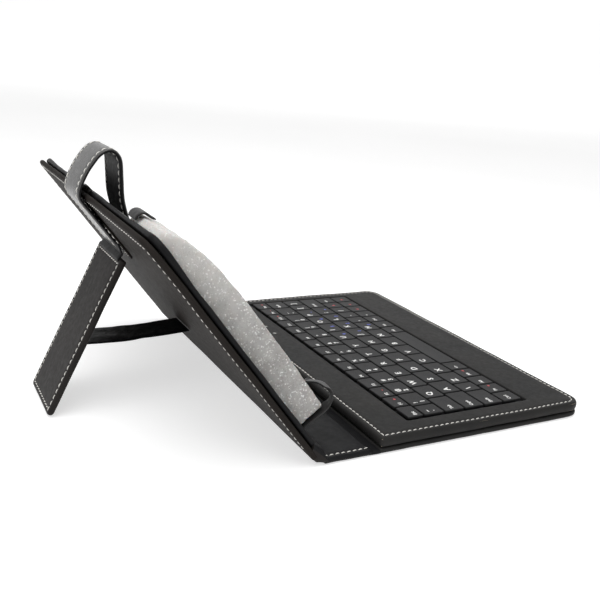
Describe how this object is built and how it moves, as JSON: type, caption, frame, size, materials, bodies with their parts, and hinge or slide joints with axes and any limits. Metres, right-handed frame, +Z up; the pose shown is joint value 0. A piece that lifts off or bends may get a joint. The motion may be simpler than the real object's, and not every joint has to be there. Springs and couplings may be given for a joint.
{
  "type": "tablet keyboard case",
  "caption": "Folding leathercloth tablet case with a built-in wired keyboard, elastic corner loops, a hinged kickstand with a ribbon stay and a closure strap.",
  "frame": {"origin": "middle of the keyboard panel's underside, on the table", "axes": "+X to the user's right along the keyboard, +Y from the user to the tablet cover, +Z up"},
  "size_m": [0.204, 0.2566, 0.1224],
  "materials": {
    "leathercloth": "black polyurethane leathercloth, fine grain, satin",
    "strap_leathercloth": "black leathercloth strap, smoother face",
    "lining": "black smooth lining",
    "greyboard": "pressed grey board, matte",
    "keycap": "black moulded ABS, fine texture",
    "moulded_plastic": "black moulded ABS",
    "membrane": "printed polyester film",
    "dome_rubber": "moulded silicone",
    "circuit_board": "green solder-masked laminate",
    "chip_plastic": "moulded epoxy",
    "light_lens": "small diffusing lens, unlit",
    "black_rubber": "moulded rubber",
    "elastic": "woven elastic and ribbon, black",
    "foam": "expanded polyethylene packing foam, closed cells",
    "plated_steel": "nickel-plated steel"
  },
  "bodies": {
    "keyboard_panel": {"front_cover_skin": "leathercloth", "front_cover_board": "greyboard", "closure_plate": "plated_steel", "keyboard_frame_skin": "leathercloth", "keyboard_frame_board": "greyboard", "keyboard_tray": "moulded_plastic", "membrane_circuit": "membrane", "rubber_dome_sheet": "dome_rubber", "key_guide_plate": "moulded_plastic", "controller_board": "circuit_board", "controller_chips": "chip_plastic", "status_lights": "light_lens", "lead_grommet": "black_rubber", "front_hinge_strip": "leathercloth"},
    "spine": {"spine_skin": "leathercloth", "spine_board": "greyboard", "spine_lining": "lining", "rear_hinge_strip": "leathercloth", "rear_lining_strip": "lining"},
    "back_cover": {"back_cover_skin": "leathercloth", "back_cover_board": "greyboard", "holder_skin": "leathercloth", "holder_board": "greyboard", "bottom_left_loop": "elastic", "bottom_right_loop": "elastic", "top_left_loop": "elastic", "top_right_loop": "elastic", "foam_insert": "foam", "anchor_patch": "leathercloth", "strap_root": "strap_leathercloth", "ribbon_stay": "elastic"},
    "leg": {"leg_skin": "leathercloth", "leg_board": "greyboard", "leg_lining": "lining", "leg_hinge_roll": "leathercloth"},
    "strap_middle": {"strap_middle": "strap_leathercloth"},
    "strap_end": {"strap_end": "strap_leathercloth", "strap_magnet": "plated_steel"},
    "escape_key": {"escape_key": "keycap"},
    "function_keys": {"function_keys": "keycap"},
    "number_keys": {"number_keys": "keycap"},
    "backspace_key": {"backspace_key": "keycap"},
    "tab_key": {"tab_key": "keycap"},
    "upper_letter_keys": {"upper_letter_keys": "keycap"},
    "caps_lock_key": {"caps_lock_key": "keycap"},
    "home_letter_keys": {"home_letter_keys": "keycap"},
    "enter_key": {"enter_key": "keycap"},
    "left_shift_key": {"left_shift_key": "keycap"},
    "lower_letter_keys": {"lower_letter_keys": "keycap"},
    "up_arrow_key": {"up_arrow_key": "keycap"},
    "right_shift_key": {"right_shift_key": "keycap"},
    "modifier_keys": {"modifier_keys": "keycap"},
    "space_bar": {"space_bar": "keycap"},
    "command_keys": {"command_keys": "keycap"},
    "left_arrow_key": {"left_arrow_key": "keycap"},
    "down_arrow_key": {"down_arrow_key": "keycap"},
    "right_arrow_key": {"right_arrow_key": "keycap"}
  },
  "joints": [
    {"name": "front_fold", "type": "hinge", "parent": "keyboard_panel", "child": "spine", "pos_m": [0, 0.0667, 0], "axis": [1, 0, 0], "range_deg": [0, 90], "deforming": ["front_hinge_strip"]},
    {"name": "back_fold", "type": "hinge", "parent": "spine", "child": "back_cover", "pos_m": [0, 0.0955, 0], "axis": [1, 0, 0], "range_deg": [-52, 38], "deforming": ["rear_hinge_strip", "rear_lining_strip"]},
    {"name": "leg_fold", "type": "hinge", "parent": "back_cover", "child": "leg", "pos_m": [0, 0.15704, 0.07438], "axis": [-1, 0, 0], "range_deg": [0, 61], "deforming": ["ribbon_stay"]},
    {"name": "strap_lift", "type": "hinge", "parent": "back_cover", "child": "strap_middle", "pos_m": [0, 0.17642, 0.10048], "axis": [-1, 0, 0], "range_deg": [0, 95]},
    {"name": "strap_end_lift", "type": "hinge", "parent": "strap_middle", "child": "strap_end", "pos_m": [0, 0.16843, 0.11853], "axis": [-1, 0, 0], "range_deg": [0, 130]},
    {"name": "escape_key_press", "type": "slide", "parent": "keyboard_panel", "child": "escape_key", "axis": [0, 0, -1], "range_m": [0, 0.0009], "stiffness_N_per_m": 500},
    {"name": "function_keys_press", "type": "slide", "parent": "keyboard_panel", "child": "function_keys", "axis": [0, 0, -1], "range_m": [0, 0.0009], "stiffness_N_per_m": 500},
    {"name": "number_keys_press", "type": "slide", "parent": "keyboard_panel", "child": "number_keys", "axis": [0, 0, -1], "range_m": [0, 0.0009], "stiffness_N_per_m": 500},
    {"name": "backspace_key_press", "type": "slide", "parent": "keyboard_panel", "child": "backspace_key", "axis": [0, 0, -1], "range_m": [0, 0.0009], "stiffness_N_per_m": 500},
    {"name": "tab_key_press", "type": "slide", "parent": "keyboard_panel", "child": "tab_key", "axis": [0, 0, -1], "range_m": [0, 0.0009], "stiffness_N_per_m": 500},
    {"name": "upper_letter_keys_press", "type": "slide", "parent": "keyboard_panel", "child": "upper_letter_keys", "axis": [0, 0, -1], "range_m": [0, 0.0009], "stiffness_N_per_m": 500},
    {"name": "caps_lock_key_press", "type": "slide", "parent": "keyboard_panel", "child": "caps_lock_key", "axis": [0, 0, -1], "range_m": [0, 0.0009], "stiffness_N_per_m": 500},
    {"name": "home_letter_keys_press", "type": "slide", "parent": "keyboard_panel", "child": "home_letter_keys", "axis": [0, 0, -1], "range_m": [0, 0.0009], "stiffness_N_per_m": 500},
    {"name": "enter_key_press", "type": "slide", "parent": "keyboard_panel", "child": "enter_key", "axis": [0, 0, -1], "range_m": [0, 0.0009], "stiffness_N_per_m": 500},
    {"name": "left_shift_key_press", "type": "slide", "parent": "keyboard_panel", "child": "left_shift_key", "axis": [0, 0, -1], "range_m": [0, 0.0009], "stiffness_N_per_m": 500},
    {"name": "lower_letter_keys_press", "type": "slide", "parent": "keyboard_panel", "child": "lower_letter_keys", "axis": [0, 0, -1], "range_m": [0, 0.0009], "stiffness_N_per_m": 500},
    {"name": "up_arrow_key_press", "type": "slide", "parent": "keyboard_panel", "child": "up_arrow_key", "axis": [0, 0, -1], "range_m": [0, 0.0009], "stiffness_N_per_m": 500},
    {"name": "right_shift_key_press", "type": "slide", "parent": "keyboard_panel", "child": "right_shift_key", "axis": [0, 0, -1], "range_m": [0, 0.0009], "stiffness_N_per_m": 500},
    {"name": "modifier_keys_press", "type": "slide", "parent": "keyboard_panel", "child": "modifier_keys", "axis": [0, 0, -1], "range_m": [0, 0.0009], "stiffness_N_per_m": 500},
    {"name": "space_bar_press", "type": "slide", "parent": "keyboard_panel", "child": "space_bar", "axis": [0, 0, -1], "range_m": [0, 0.0009], "stiffness_N_per_m": 500},
    {"name": "command_keys_press", "type": "slide", "parent": "keyboard_panel", "child": "command_keys", "axis": [0, 0, -1], "range_m": [0, 0.0009], "stiffness_N_per_m": 500},
    {"name": "left_arrow_key_press", "type": "slide", "parent": "keyboard_panel", "child": "left_arrow_key", "axis": [0, 0, -1], "range_m": [0, 0.0009], "stiffness_N_per_m": 500},
    {"name": "down_arrow_key_press", "type": "slide", "parent": "keyboard_panel", "child": "down_arrow_key", "axis": [0, 0, -1], "range_m": [0, 0.0009], "stiffness_N_per_m": 500},
    {"name": "right_arrow_key_press", "type": "slide", "parent": "keyboard_panel", "child": "right_arrow_key", "axis": [0, 0, -1], "range_m": [0, 0.0009], "stiffness_N_per_m": 500}
  ]
}
